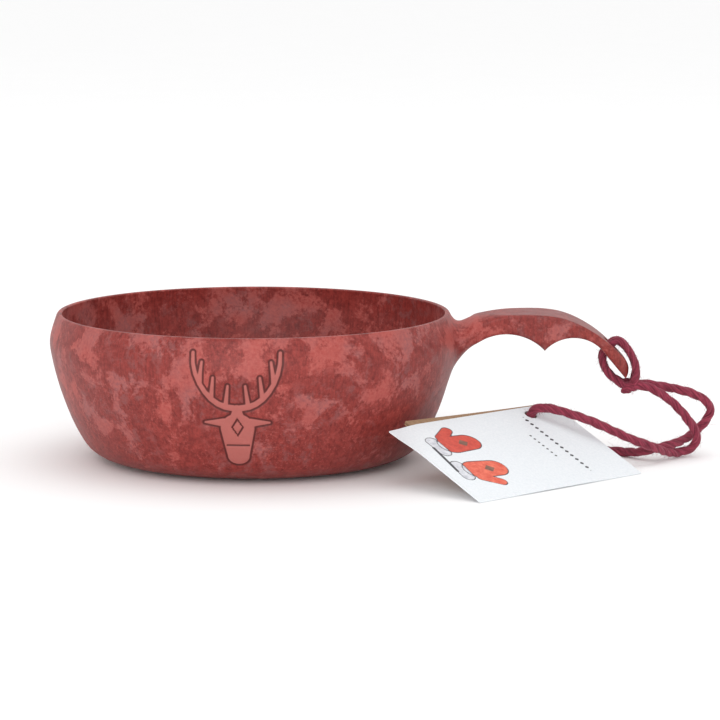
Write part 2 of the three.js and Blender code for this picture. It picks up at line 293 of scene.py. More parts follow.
def spun_wool():
    """Soft-spun wool yarn, dyed wine red: dull, with fine fibres running along each ply, painted shade
    where the plies meet, and a fuzzy edge that catches the light."""
    made, tree = new_material("soft_spun_wool_yarn")
    in_yarn = attribute(tree, "yarn_place", "Vector")
    along = add(tree, "ShaderNodeMapping", {"Vector": in_yarn, "Scale": (1, 1, 0.13)})
    # Fibres about 0.5 mm wide, drawn coarser than real wool's 0.03 mm so that they show.
    fibre = noise(tree, along.outputs[0], 2.0, 4, 0.65)
    patch = noise(tree, object_millimetres(tree), 0.35, 3)
    tone = mixed(tree, between(tree, fibre, 0.36, 0.64), linear("560E22"), linear("A03E52"))
    tone = mixed(tree, between(tree, patch, 0.4, 0.65, 0, 0.4), tone, linear("7B2439"))
    # Painted shade: the colour darkens in the valleys where the plies meet.
    tone = mixed(tree, between(tree, attribute(tree, "yarn_valley"), 0, 1, 0, 0.6), tone, linear("3A0A18"))
    inputs = {"Base Color": tone, "Roughness": 0.92, "IOR": 1.45}
    sheen = {"Sheen Weight": 0.35, "Sheen Roughness": 0.5, "Sheen Tint": linear("E8A0AE")}
    shade(tree, {**inputs, **sheen}, fibre, 0.75, 0.3)
    return made


def printed_board():
    """White coated board, offset printed: smooth and faintly blue, with flat inks whose edges are
    sharp. Each ink's shape is a signed distance kept in the mesh."""
    made, tree = new_material("white_coated_board")
    place = object_millimetres(tree)
    fibre = noise(tree, place, 1.3, 4, 0.6)
    tone = mixed(tree, between(tree, fibre, 0.35, 0.65), linear("DEE3E7"), linear("E6EAED"))
    wash = noise(tree, place, 0.45, 5, 0.7)
    inks = (
        ("ink_dark_mitten", "B9382B", "D5503C"),
        ("ink_pale_mitten", "CF4A33", "E8745A"),
        ("ink_lozenges", "6A4638", "8A6350"),
        ("ink_cuffs", "B9BCC4", "E4E5EA"),
        ("ink_cord", "2B2A31", "4A4850"),
        ("ink_line", "26262A", "33333A"),
    )
    for name, dark, pale in inks:
        share = between(tree, attribute(tree, name), -0.07, 0.07, 0, 1)
        ink = mixed(tree, between(tree, wash, 0.35, 0.65), linear(dark), linear(pale))
        tone = mixed(tree, share, tone, ink)
    shade(tree, {"Base Color": tone, "Roughness": 0.42, "IOR": 1.48}, fibre, 0.08, 0.03)
    return made


def kraft_board():
    """Unbleached kraft board: matt and brown, with short darker and paler fibres and fine specks."""
    made, tree = new_material("unbleached_kraft_board")
    place = object_millimetres(tree)
    patch = noise(tree, place, 0.5, 2)
    fibre = noise(tree, object_millimetres(tree, (0.5, 2.2, 1.5)), 1.6, 5, 0.7, 0.8)
    tone = mixed(tree, between(tree, fibre, 0.3, 0.7), linear("80624A"), linear("AC8C6C"))
    speck = between(tree, noise(tree, place, 2.2, 2, 0.5), 0.66, 0.74)
    tone = mixed(tree, maths(tree, "MULTIPLY", speck, 0.6), tone, linear("5C4330"))
    tone = mixed(tree, between(tree, patch, 0.3, 0.7, 0, 0.35), tone, linear("B89A7C"))
    shade(tree, {"Base Color": tone, "Roughness": 0.88, "IOR": 1.45}, fibre, 0.35, 0.05)
    return made


def studio_sheet():
    """Matt white paper: it only takes soft shadows."""
    made, tree = new_material("matt_white_paper")
    faint = noise(tree, object_millimetres(tree), 0.02, 2)
    tone = mixed(tree, faint, linear("FAFAFA"), linear("FCFCFC"))
    shade(tree, {"Base Color": tone, "Roughness": 0.9, "Specular IOR Level": 0.1})
    return made


COMPOSITE, WOOL, BOARD, KRAFT = wood_fibre_composite(), spun_wool(), printed_board(), kraft_board()


# ---------------------------------------------------------------- camera

LENS_MM, SENSOR_MM = 164.46, 36
CAMERA_AT = (0.037286, -1.14307, 0.205791)
CAMERA_DIP, CAMERA_ROLL = 0.149, 0.002

camera_data = bpy.data.cameras.new("camera")
camera_data.lens, camera_data.sensor_width = LENS_MM, SENSOR_MM
camera_data.clip_start, camera_data.clip_end = 0.05, 60
camera = bpy.data.objects.new("camera", camera_data)
bpy.context.scene.collection.objects.link(camera)
camera.matrix_world = (
    Matrix.Translation(CAMERA_AT)
    @ Matrix.Rotation(math.pi / 2 - CAMERA_DIP, 4, "X")
    @ Matrix.Rotation(CAMERA_ROLL, 4, "Z")
)
bpy.context.scene.camera = camera


# ---------------------------------------------------------------- wool yarn

CORD_RADIUS = 1.5
PLIES = 3
PLY_RADIUS = 0.464  # of one ply, as a share of the whole yarn's, which three touching plies give
PLY_RELIEF = 0.42  # how much of the valleys' true depth the soft wool keeps
MEAN_GIRTH = 0.98
TWIST_PITCH = 15.0  # one ply comes round to the same side again after this far
HITCH_SPREAD = 1.75  # each strand of the hitch from the middle plane
KNOT_AT = (131.9, 24.9)
KNOT_COIL_RADIUS, KNOT_COIL_TURNS = 1.9, 1.85
FLOOR_CLEARANCE = 0.12
HITCH_GIRTH, KNOT_GIRTH, LOBE_GIRTH = 0.9, 0.86, 0.8  # drawn tighter than the free yarn
FIBRE_RADIUS = 0.048  # at its root, about three times real wool's, so that it shows

HITCH_ROUTE = [
    (0.1339, 0.0278), (0.1343, 0.0304), (0.1338, 0.0334), (0.1322, 0.0369), (0.1299, 0.0400),
    (0.1274, 0.0414), (0.1255, 0.0404), (0.1241, 0.0387), (0.1227, 0.0369), (0.1225, 0.0344),
    (0.1237, 0.0312), (0.1257, 0.0287), (0.1284, 0.0268),
]  # fmt: skip

LOOP_ROUTE = [
    (0.1357, -0.0017, 0.0256), (0.1397, -0.0022, 0.0246), (0.1436, -0.0026, 0.0224),
    (0.1475, -0.0030, 0.0194), (0.1507, -0.0030, 0.0161), (0.1534, -0.0028, 0.0126),
    (0.1553, -0.0020, 0.0094), (0.1559, -0.0010, 0.0062), (0.1544, -0.0002, 0.0032),
    (0.1502, -0.0015, 0.0019), (0.1452, -0.0072, 0.0029), (0.1408, -0.0136, 0.0053),
    (0.1363, -0.0176, 0.0075), (0.1312, -0.0196, 0.0097), (0.1242, -0.0198, 0.0129),
    (0.1172, -0.0190, 0.0159), (0.1104, -0.0180, 0.0181), (0.1046, -0.0170, 0.0196),
    (0.1000, -0.0166, 0.0200), (0.0975, -0.0165, 0.0190), (0.0966, -0.0159, 0.0173),
    (0.0960, -0.0152, 0.0153), (0.0951, -0.0143, 0.0112), (0.0943, -0.0135, 0.0070),
    (0.0952, -0.0127, 0.0035), (0.0986, -0.0110, 0.0018), (0.1060, -0.0074, 0.0017),
    (0.1160, -0.0022, 0.0018), (0.1220, 0.0006, 0.0021), (0.1270, 0.0006, 0.0018),
    (0.1315, -0.0014, 0.0018), (0.1360, -0.0060, 0.0028), (0.1412, -0.0088, 0.0045),
    (0.1470, -0.0046, 0.0052), (0.1510, 0.0000, 0.0058), (0.1544, 0.0040, 0.0070),
    (0.1574, 0.0060, 0.0091), (0.1600, 0.0070, 0.0119), (0.1614, 0.0070, 0.0148),
    (0.1608, 0.0066, 0.0176), (0.1582, 0.0060, 0.0200), (0.1540, 0.0050, 0.0220),
    (0.1475, 0.0040, 0.0238), (0.1419, 0.0027, 0.0250), (0.1374, 0.0018, 0.0257),
    (0.1357, 0.0017, 0.0257),
]  # fmt: skip


def yarn_surface(line, spacing=0.42, phase=0.0, girth=1.0, around=30):
    """Points, faces, attributes and centreline of a three-ply yarn along a line in millimetres.
    Across it, each ply is a circle, so the radius is b cos(p) + sqrt(a^2 - b^2 sin(p)^2) at an
    angle p from the nearest ply's middle, softened towards round. The plies turn once in each
    twist pitch, the thickness wanders by a few hundredths, and each end closes in a half circle."""
    line = by_spacing(line, spacing)
    far = lengths(line)
    n, b, _ = carried_frames(line)
    angle = np.linspace(0, 2 * np.pi, around, endpoint=False)[None, :]
    spun = angle - 2 * np.pi * far[:, None] / TWIST_PITCH + phase
    off = (spun * PLIES / (2 * np.pi) + 0.5) % 1 - 0.5
    off = off * 2 * np.pi / PLIES
    centre = 1 - PLY_RADIUS
    out = centre * np.cos(off) + np.sqrt(np.maximum(PLY_RADIUS**2 - (centre * np.sin(off)) ** 2, 0))
    radius = CORD_RADIUS * girth * (MEAN_GIRTH + PLY_RELIEF * (out - out.mean()))
    wander = np.sin(far / 3.1 + phase) * 0.028 + np.sin(far / 1.27 + 2 * phase) * 0.02
    ridges = 0.035 * np.sin(9 * spun + 6 * far[:, None] / 2.3)
    ridges = ridges + 0.03 * np.sin(14 * angle + far[:, None] * 1.9)
    radius = radius * (1 + wander[:, None]) + ridges
    near_end = np.minimum(far, far[-1] - far) / CORD_RADIUS
    radius = radius * np.sqrt(np.clip(1 - (1 - np.minimum(near_end, 1)) ** 2, 0, 1))[:, None]
    ring = n[:, None] * np.cos(angle)[..., None] + b[:, None] * np.sin(angle)[..., None]
    points = line[:, None] + radius[..., None] * ring
    points[..., 2] = np.maximum(points[..., 2], FLOOR_CLEARANCE)
    # How far down into a valley between plies each point lies, for the wool's painted shade there.
    valley_shade = smoothstep(1 - (out - out.min()) / (0.6 * (out.max() - out.min())))
    place = [CORD_RADIUS * np.cos(spun), CORD_RADIUS * np.sin(spun), far[:, None] + 0 * spun]
    place = np.stack(place, -1)
    # The first and last rings have no width, so one point stands for each.
    points, valley_shade, place = points[1:-1], valley_shade[1:-1], place[1:-1]
    rows = len(points)
    count = rows * around
    faces = [grid_quads(rows, around)]
    faces += [fan(np.arange(around)[::-1], count), fan(np.arange(around) + count - around, count + 1)]
    points = np.vstack([points.reshape(-1, 3), line[[0, -1]]])
    points[:, 2] = np.maximum(points[:, 2], FLOOR_CLEARANCE)
    valley_shade = np.r_[valley_shade.ravel(), 0, 0]
    place = np.vstack([place.reshape(-1, 3), [[0, 0, 0], [0, 0, far[-1]]]])
    return points, faces, {"yarn_valley": valley_shade, "yarn_place": place}, line


def joined(parts):
    """Several sets of points, faces and attributes as one."""
    points = np.vstack([p for p, _, _ in parts])
    starts = np.cumsum([0] + [len(p) for p, _, _ in parts[:-1]])
    faces = [f + s for s, (_, some, _) in zip(starts, parts) for f in some]
    kept = {k: np.concatenate([a[k] for _, _, a in parts]) for k in parts[0][2]}
    return points, faces, kept


def fuzz(line, per_mm, seed):
    """Loose fibres standing off the yarn: thin three-sided tubes of three spans that taper to a
    point. Each starts just under the yarn's surface, leans along it and curls."""
    rng = np.random.default_rng(seed)
    line = by_spacing(line, 0.5)
    n, b, t = carried_frames(line)
    count = int(lengths(line)[-1] * per_mm)
    at = rng.integers(2, len(line) - 2, count)
    angle = rng.uniform(0, 2 * np.pi, count)[:, None]
    out = n[at] * np.cos(angle) + b[at] * np.sin(angle)
    side = np.cross(out, t[at])
    lean = rng.normal(0, 1.0, (count, 1)) * t[at] + rng.normal(0, 0.6, (count, 1)) * side
    reach = rng.gamma(3.0, 0.32, (count, 1)) + 0.3
    curl = rng.normal(0, 0.5, (count, 3))
    s = np.linspace(0, 1, 4)[None, :, None]
    start = line[at] + out * CORD_RADIUS * 0.86
    way = unit(out * 0.7 + lean)[:, None]
    bend = 0.45 * (curl[:, None] + t[at][:, None] * 0.4)
    spine = start[:, None] + reach[:, None] * (s * way + s * s * bend)
    across = unit(np.cross(way, out[:, None] + 0.31))
    second = np.cross(way, across)
    thick = FIBRE_RADIUS * (1 - 0.85 * s)
    turn = np.array([0, 2, 4]) * np.pi / 3
    ring = across[:, :, None] * np.cos(turn)[:, None] + second[:, :, None] * np.sin(turn)[:, None]
    points = spine[:, :, None] + thick[..., None] * ring
    points[..., 2] = np.maximum(points[..., 2], FLOOR_CLEARANCE)
    first = np.arange(count)[:, None, None] * 12
    quads = (first + grid_quads(4, 3)[None]).reshape(-1, 4)
    ends = first[:, 0] + np.array([[2, 1, 0]])
    tips = first[:, 0] + np.array([[9, 10, 11]])
    flat = points.reshape(-1, 3)
    place = np.repeat(rng.uniform(0, 40, (count, 3)), 12, axis=0)
    return flat, [quads, ends, tips], {"yarn_valley": np.zeros(len(flat)), "yarn_place": place}


# The loop's and the hitch's ends are carried on into the knot, in millimetres.
LOOP_ENDS_IN_KNOT = [(132.9, -1.0, 25.1), (132.9, 1.0, 25.3)]
HITCH_ENDS_IN_KNOT = [(133.1, 25.4), (130.6, 25.2)]
loop_line = np.array(LOOP_ROUTE) / MM
loop_line = centripetal(np.vstack([LOOP_ENDS_IN_KNOT[:1], loop_line, LOOP_ENDS_IN_KNOT[1:]]), 920)
points, faces, kept, loop_path = yarn_surface(loop_line)
wool_loop = mesh_piece("wool_loop", points, faces, "loop", kept, 80)
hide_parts("cord_loop")

hitch_xz = np.array(HITCH_ROUTE) / MM
hitch_xz = np.vstack([HITCH_ENDS_IN_KNOT[:1], hitch_xz, HITCH_ENDS_IN_KNOT[1:]])
strands = [centripetal(np.insert(hitch_xz, 1, y, axis=1), 200) for y in (-HITCH_SPREAD, HITCH_SPREAD)]
hitch_parts = [yarn_surface(s, phase=1.3 + k, girth=HITCH_GIRTH)[:3] for k, s in enumerate(strands)]
points, faces, kept = joined(hitch_parts)
wool_hitch = mesh_piece("wool_hitch", points, faces, "cup", kept, 80)
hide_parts("cord_hitch_front", "cord_hitch_back")


def knot_line():
    """The wrap of the knot: a coil of nearly two turns round the gathered strands, with both ends
    brought out below it as short lobes."""
    turn = np.linspace(-2.3, -2.3 + 2 * np.pi * KNOT_COIL_TURNS, 60)
    share = np.linspace(0, 1, 60)
    x, z = KNOT_AT
    r = KNOT_COIL_RADIUS
    coil = np.c_[x + r * np.cos(turn), r * np.sin(turn), z - 0.5 + 2.2 * share]
    start = np.array([[x - 2.0, -1.5, z - 2.3], [x - 1.8, -1.6, z - 1.4]])
    return centripetal(np.vstack([start, coil[2::4]]), 160)


def tucked_end():
    """The other end, a short lobe that hangs beside the first."""
    x, z = KNOT_AT
    return centripetal([[x + 0.4, 0.1, z + 0.8], [x - 0.1, -0.7, z - 0.8], [x - 0.1, -1.4, z - 2.2]], 40)


knot_parts = [
    yarn_surface(knot_line(), spacing=0.3, girth=KNOT_GIRTH)[:3],
    yarn_surface(tucked_end(), spacing=0.3, girth=LOBE_GIRTH)[:3],
]
points, faces, kept = joined(knot_parts)
wool_knot = mesh_piece("wool_knot", points, faces, "cup", kept, 80)
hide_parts("cord_knot")

points, faces, kept = fuzz(loop_line, 10, SEED)
loop_fuzz = mesh_piece("wool_fuzz_loop", points, faces, "loop", kept, 60)
tied = [*strands, knot_line()]
points, faces, kept = joined([fuzz(s, 9.0, SEED + 1 + k) for k, s in enumerate(tied)])
hitch_fuzz = mesh_piece("wool_fuzz_hitch", points, faces, "cup", kept, 60)
for piece in (wool_loop, wool_hitch, wool_knot, loop_fuzz, hitch_fuzz):
    piece.data.materials.append(WOOL)


# ---------------------------------------------------------------- bowl and handle

BELLY, BELLY_HEIGHT = 71.2, 43.0
RIM, RIM_OUTER, RIM_LAND = 51.5, 68.7, 1.7
BASE, WALL, FLOOR = 43.0, 4.0, 4.6
OUTER_EDGE_RADIUS, INNER_EDGE_RADIUS = 0.7, 0.5  # of the rim's two edges
PRESSED_LINE, PRESSED_FLAT = 0.36, 0.16  # how deep the emblem's outline and its inside are
EMBLEM_AT = math.radians(-92.9)
EMBLEM_FOOT = 19.5  # the emblem's lowest point, measured up the wall from the base's edge
EMBLEM_HALF_ANGLE = math.radians(15.5)
HANDLE_HALF_ANGLE = math.radians(23)


def outside_profile():
    """Radius and height up the outside of the wall, from the base's edge to the rim."""
    flare = BELLY - BASE
    shares = [(0, 0), (0.3227, 0.036), (0.5035, 0.095), (0.6206, 0.19), (0.7518, 0.36), (0.8865, 0.6),
              (0.9787, 0.84), (1, 1)]  # fmt: skip
    points = [(BASE + flare * r, BELLY_HEIGHT * z) for r, z in shares] + [(RIM_OUTER, RIM)]
    return spline(points, 400)


def inside_profile():
    """Radius and height up the lining, from the flat of the floor to the rim's inner edge."""
    flare = BELLY - BASE
    return spline(
        [
            (BASE - WALL - 2, FLOOR),
            (BASE - WALL + flare * 0.4504, FLOOR + 2.6),
            (BASE - WALL + flare * 0.7305, FLOOR + 11),
            (BASE - WALL + flare * 0.9149, (FLOOR + BELLY_HEIGHT) * 0.62),
            (BELLY - WALL, BELLY_HEIGHT),
            (RIM_OUTER - RIM_LAND, RIM),
        ],
        300,
    )


def capsule(a, b, start, end, thick_start, thick_end):
    """Signed distance to a rounded bar that tapers between two points, negative inside."""
    s, e = np.array(start, float), np.array(end, float)
    way = e - s
    t = np.clip(((a - s[0]) * way[0] + (b - s[1]) * way[1]) / (way @ way), 0, 1)
    reach = np.hypot(a - s[0] - t * way[0], b - s[1] - t * way[1])
    return reach - (thick_start + (thick_end - thick_start) * t)


def emblem_distance(a, b):
    """Signed distance in millimetres to a plain folk emblem, the same on both sides: a head that
    narrows to the nose, with level ears, under two antlers. Each antler's beam is a quarter of an
    ellipse that leaves the brow level and ends upright, with tines of one shape at even steps
    along it. a runs across it and b up from its foot."""
    m = np.abs(a)
    turn = np.linspace(0, math.pi / 2, 9)
    beam = np.c_[1.2 + 13.4 * np.sin(turn), 41.6 - 19.2 * np.cos(turn)]
    thick = np.linspace(1.45, 0.9, 9)
    head, ear, brow = (0, 4.0), (4.6, 17.0), (0, 18)
    bars = [(head, (0, 14.6), 4.0, 6.0), (ear, (10.8, 17.0), 1.9, 0.7), (brow, (0, 22.4), 3.2, 1.5)]
    bars += [(beam[k], beam[k + 1], thick[k], thick[k + 1]) for k in range(8)]
    bars += [(beam[k], beam[k] + [-0.9, 7.6], 1.15, 0.75) for k in (1, 3, 5)]
    return np.min([capsule(m, b, *bar) for bar in bars], axis=0)


def emblem_inner_line(a, b):
    """Distance to the lines inside the emblem: a plain lozenge on the brow and a band over the nose."""
    lozenge = np.abs(np.abs(a) * 0.86 + np.abs(b - 15.2) * 0.5 - 1.55)
    band = np.maximum(np.abs(b - 8.2), np.abs(a) - 4.0)
    return np.minimum(lozenge, band)


def columns_round():
    """Angles round the bowl: close together at the emblem and at the handle's root."""
    spans = [
        (EMBLEM_AT - EMBLEM_HALF_ANGLE, EMBLEM_AT + EMBLEM_HALF_ANGLE, 100),
        (EMBLEM_AT + EMBLEM_HALF_ANGLE, -HANDLE_HALF_ANGLE, 26),
        (-HANDLE_HALF_ANGLE, HANDLE_HALF_ANGLE, 74),
        (HANDLE_HALF_ANGLE, EMBLEM_AT - EMBLEM_HALF_ANGLE + 2 * math.pi, 114),
    ]
    return np.concatenate([np.linspace(a, b, n, endpoint=False) for a, b, n in spans])


def corner(at, first, last, radius, steps=5):
    """A quarter of a circle in a profile, from one angle to another, as points."""
    turn = np.radians(np.linspace(first, last, steps + 1))
    return np.c_[at[0] + radius * np.cos(turn), at[1] + radius * np.sin(turn)]


def bowl_surface():
    """The bowl as one closed surface: a profile turned round Z, running out under the base, up the
    outside, over the rim with small rounded edges, down the lining and in over the floor. The
    emblem is pressed into it along the wall's normal."""
    outside = outside_profile()
    inside = inside_profile()[::-1]
    on_side = (outside[:, 1] > 0.5) & (outside[:, 1] < RIM - 0.75)
    wall = by_spacing(outside[on_side], 0.4)
    lining = by_spacing(inside[inside[:, 1] < RIM - 0.6], 1.25)
    # Rings across the flat base, the last of them just lifted off the table.
    base = np.c_[[12, 26, 38, 41.6, 42.6], [0, 0, 0, 0, 0.04]]
    outer_edge, inner_edge = OUTER_EDGE_RADIUS, INNER_EDGE_RADIUS
    rim_outer = corner((RIM_OUTER - 0.65, RIM - outer_edge), 12, 90, outer_edge)
    rim_inner = corner((RIM_OUTER - RIM_LAND + inner_edge, RIM - inner_edge), 90, 180, inner_edge)
    floor = np.c_[[24, 12], [FLOOR, FLOOR]]
    profile = np.vstack([base, wall, rim_outer, rim_inner, lining, floor])
    far = lengths(outside)
    up_wall = np.interp(profile[:, 1], outside[:, 1], far)
    on_wall = np.zeros(len(profile), bool)
    on_wall[len(base) : len(base) + len(wall)] = True
    angle = columns_round()[None, :]
    radius, height = profile[:, :1], profile[:, 1:]
    a = (angle - EMBLEM_AT) * np.minimum(radius, 70)
    b = up_wall[:, None] - EMBLEM_FOOT + 0 * angle
    far_off = 60.0
    away = np.where(on_wall[:, None], np.minimum(emblem_distance(a, b), far_off), far_off)
    inner = np.where(away < -0.9, emblem_inner_line(a, b), 9.0)
    edge = np.minimum(np.abs(away), inner)
    pressed = PRESSED_LINE * np.exp(-((edge / 0.38) ** 2)) + PRESSED_FLAT * smoothstep(-away / 0.5)
    slope = unit(np.gradient(profile, axis=0))
    normal_r, normal_z = slope[:, 1:], -slope[:, :1]
    r = radius - pressed * normal_r
    z = np.maximum(height - pressed * normal_z, 0)
    points = np.stack([r * np.cos(angle), r * np.sin(angle), z + 0 * angle], -1)
    shown = np.where(inner < 0.55, -inner, away)
    rows, across = points.shape[:2]
    count = rows * across
    faces = [grid_quads(rows, across), fan(np.arange(across)[::-1], count)]
    faces.append(fan(np.arange(across) + count - across, count + 1))
    points = np.vstack([points.reshape(-1, 3), [[0, 0, 0], [0, 0, FLOOR]]])
    near = np.r_[EMBLEM_OFFSET - shown.ravel(), 0, 0]
    return points, faces, {"emblem_near": near}


REACH, TIP_DROP = 60.3, 23.1
FIRST_GROOVE, SECOND_GROOVE = (17.3, -25.3, 18.3), (40.6, -21.5, 13.4)
WALL_BLEND_ANGLE, TIP_BLEND_ANGLE = 2.88, 0.75
GROOVE_MEETING = (30.55, -12.75)
CORD_HOLE_AT, CORD_HOLE_RADIUS, CORD_HOLE_LEAN = (124.3, 38.9), 3.7, math.pi / 4
SOFTENED_REACH, SOFTENING_PASSES = 7.5, 150


def handle_outlines():
    """The handle's top and underside in its middle plane, each split where the two grooves meet, as
    distance out from the belly and height over the rim."""
    top = spline(
        [(-12, -3.9), (2.4, -2.4), (8, -0.8), (16.4, -0.1), (30.5, -0.1), (39.9, -2.1), (49.4, -7.3),
         (57.8, -14.9), (60.2, -18.6), (60.3, -21.4)],
        300,
    )  # fmt: skip

    def arc(groove, first, last):
        turn = np.linspace(first, last, 60)
        return np.c_[groove[0] + groove[2] * np.cos(turn), groove[1] + groove[2] * np.sin(turn)]

    meet = [
        math.atan2(GROOVE_MEETING[1] - g[1], GROOVE_MEETING[0] - g[0])
        for g in (FIRST_GROOVE, SECOND_GROOVE)
    ]
    root = np.array([[-12.0, -29.3]])
    under_first = np.vstack([root, arc(FIRST_GROOVE, WALL_BLEND_ANGLE, meet[0])])
    under_second = np.vstack([arc(SECOND_GROOVE, meet[1], TIP_BLEND_ANGLE), [[REACH - 1.1, -TIP_DROP]]])
    split = top[:, 0] <= GROOVE_MEETING[0]
    return (top[split], top[~split]), (under_first, under_second)


def half_width(out):
    """Half the handle's width at a distance out from the belly: flared into the wall, waisted at the
    neck, and round at the tip."""
    side = spline(
        [(-12, 23.8), (-1.5, 14.2), (6, 10.4), (14, 9.8), (30.3, 10.7), (42.3, 11), (52.3, 9.6),
         (58.3, 6.05), (60.3, 2)],
        300,
    )  # fmt: skip
    return np.interp(out, side[:, 0], side[:, 1])


def section_loop():
    """One rounded rectangle as numbers that fit any size: how far each point follows the half width
    and the half height, and how far each corner's own radius."""
    corners = np.array([(1, 1), (-1, 1), (-1, -1), (1, -1)])
    quarter = np.radians(np.linspace(0, 90, 6))
    parts = []
    for k, (here, ahead) in enumerate(zip(corners, np.roll(corners, -1, axis=0))):
        turn = quarter + k * np.pi / 2
        rounded = np.c_[np.cos(turn), np.sin(turn)]
        parts.append(np.c_[np.tile(here, (6, 1)), rounded])
        s = np.linspace(0, 1, 9 if k % 2 == 0 else 8)[1:-1, None]
        parts.append(np.c_[here + (ahead - here) * s, np.tile(rounded[-1], (len(s), 1))])
    return np.vstack(parts)


def handle_surface():
    """The handle as a closed loft. Each section is a rounded rectangle between a point of the top
    outline and the matching point of the underside. Its top is crowned at the saddle by the rim
    and flat with crisp edges on the thumb rest, and its root ends inside the wall."""
    tops, unders = handle_outlines()
    counts = (96, 104)
    shares = [np.linspace(0, 1, n, endpoint=n == counts[1]) for n in counts]
    top = np.vstack([resample(t, s) for t, s in zip(tops, shares)])
    under = np.vstack([resample(u, s) for u, s in zip(unders, shares)])
    middle, up = (top + under) / 2, (top - under) / 2
    half = np.linalg.norm(up, axis=1)[:, None]
    loop = section_loop()
    sy, sz, cy, cz = (loop[:, k][None, :] for k in range(4))
    x_top = top[:, :1]
    # The corners' radii: crisp on the thumb rest, wide on the saddle and underneath by the wall.
    crown = 1 - smoothstep((x_top - 4) / 16)
    over = sz > 0
    by_wall = 1 - smoothstep((x_top + 7) / 13)
    ry = np.where(over, 0.7 + 8.6 * crown, 1.1 + 8.0 * by_wall)
    rz = np.where(over, 0.7 + 3.4 * crown, 1.1 + 9.0 * by_wall)
    rz = np.minimum(rz, 0.96 * half)
    rise = sz * (half - rz) + cz * rz
    place = middle[:, None] + (rise / half)[..., None] * up[:, None]
    out, over_rim = place[..., 0], place[..., 1]
    # The sides draw in towards the underside, by 9 hundredths.
    lean = 1 - 0.045 * (1 - rise / half) * smoothstep((x_top - 2) / 10)
    wide = half_width(out) * lean
    ry = np.minimum(ry, 0.97 * wide)
    y = sy * (wide - ry) + cy * ry
    z = RIM + over_rim
    x = BELLY + out
    outer, inner = outside_profile(), inside_profile()
    held = np.clip(z, 6, RIM - 1)
    mid_wall = (np.interp(held, outer[:, 1], outer[:, 0]) + np.interp(held, inner[:, 1], inner[:, 0])) / 2
    root = np.sqrt(np.maximum(mid_wall**2 - y**2, 1))
    # A soft maximum keeps the handle from passing inwards of the middle of the wall.
    past = x - root
    x = root + 0.5 * (past + np.sqrt(past**2 + 0.05))
    return capped(np.stack([x, y, z], -1))


def capped(rings):
    """Rings of points as a closed surface: each end is a fan to the mean of its ring."""
    rows, around = rings.shape[:2]
    count = rows * around
    faces = [grid_quads(rows, around), fan(np.arange(around)[::-1], count)]
    faces.append(fan(np.arange(around) + count - around, count + 1))
    points = np.vstack([rings.reshape(-1, 3), rings[[0, -1]].mean(1)])
    return points, faces, {"emblem_near": np.zeros(len(points))}


def cord_hole_drill():
    """A turned plug the shape of the cord hole, a little wider at both mouths, leaning out 45 degrees
    at the middle of the handle's tip."""
    t = np.array([-9, -4.0, -2.7, -2.2, -1.7, 0, 1.7, 2.2, 2.7, 4.0, 9])[:, None]
    radius = CORD_HOLE_RADIUS + 0.55 * np.clip(np.abs(t) - 1.7, 0, 1) ** 1.6
    turn = np.linspace(0, 2 * np.pi, 56, endpoint=False)[None, :]
    across, y = radius * np.cos(turn), radius * np.sin(turn)
    sine, cosine = math.sin(CORD_HOLE_LEAN), math.cos(CORD_HOLE_LEAN)
    x = across * cosine + t * sine + CORD_HOLE_AT[0]
    z = -across * sine + t * cosine + CORD_HOLE_AT[1]
    return capped(np.stack([x, y, z], -1))


def soften_root(points, edges):
    """Rounds the crease where the handle runs into the wall: points within some millimetres of both
    surfaces are drawn again and again towards the mean of their neighbours."""
    outer = outside_profile()
    tops, unders = (np.vstack(both) for both in handle_outlines())
    x, y, z = points.T
    out = x - BELLY
    from_wall = np.abs(np.hypot(x, y) - np.interp(z, outer[:, 1], outer[:, 0]))
    beside = np.abs(y) - half_width(out)
    over = z - RIM - np.interp(out, tops[:, 0], tops[:, 1])
    under = np.interp(out, unders[:, 0], unders[:, 1]) - (z - RIM)
    from_handle = np.abs(np.maximum(np.maximum(beside, over), under))
    weight = 0.5 * smoothstep(1.15 - (from_wall + from_handle) / SOFTENED_REACH)
    weight = weight * smoothstep((RIM - 0.7 - z) / 1.0) * (x > 50) * (np.hypot(x, y) > 62)
    some = weight > 0
    kept = edges[some[edges].any(axis=1)]
    both = np.vstack([kept, kept[:, ::-1]])
    degree = np.maximum(np.bincount(both[:, 0], minlength=len(points)), 1)
    for _ in range(SOFTENING_PASSES):
        total = [np.bincount(both[:, 0], points[both[:, 1], k], len(points)) for k in range(3)]
        mean = np.stack(total, -1) / degree[:, None]
        points = points + weight[:, None] * (mean - points)
    return points


def joined_cup():
    """The bowl, with the handle joined on and the cord hole cut through it, as one closed mesh."""
    surfaces = {
        "bowl_body": bowl_surface(),
        "handle_tool": handle_surface(),
        "hole_tool": cord_hole_drill(),
    }
    bowl, handle, hole = (
        mesh_piece(name, points, faces, None, kept)
        for name, (points, faces, kept) in surfaces.items()
    )
    tools = [(handle, "UNION"), (hole, "DIFFERENCE")]
    for tool, operation in tools:
        cut = bowl.modifiers.new(operation.lower(), "BOOLEAN")
        cut.operation, cut.object, cut.solver = operation, tool, "EXACT"
    graph = bpy.context.evaluated_depsgraph_get()
    mesh = bpy.data.meshes.new_from_object(bowl.evaluated_get(graph))
    bowl.modifiers.clear()
    bowl.data = mesh
    mesh.name = "bowl_body"
    for tool, _ in tools:
        bpy.data.objects.remove(tool)
    points = np.zeros(len(mesh.vertices) * 3)
    mesh.vertices.foreach_get("co", points)
    edges = np.zeros(len(mesh.edges) * 2, int)
    mesh.edges.foreach_get("vertices", edges)
    points = soften_root(points.reshape(-1, 3) / MM, edges.reshape(-1, 2))
    mesh.vertices.foreach_set("co", (points * MM).ravel())
    mesh.polygons.foreach_set("use_smooth", np.ones(len(mesh.polygons), bool))
    mesh.set_sharp_from_angle(angle=math.radians(38))
    mesh.update()
    return bowl


cup = joined_cup()
cup.data.materials.clear()
cup.data.materials.append(COMPOSITE)
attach(cup, "cup")
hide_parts("cup_body")


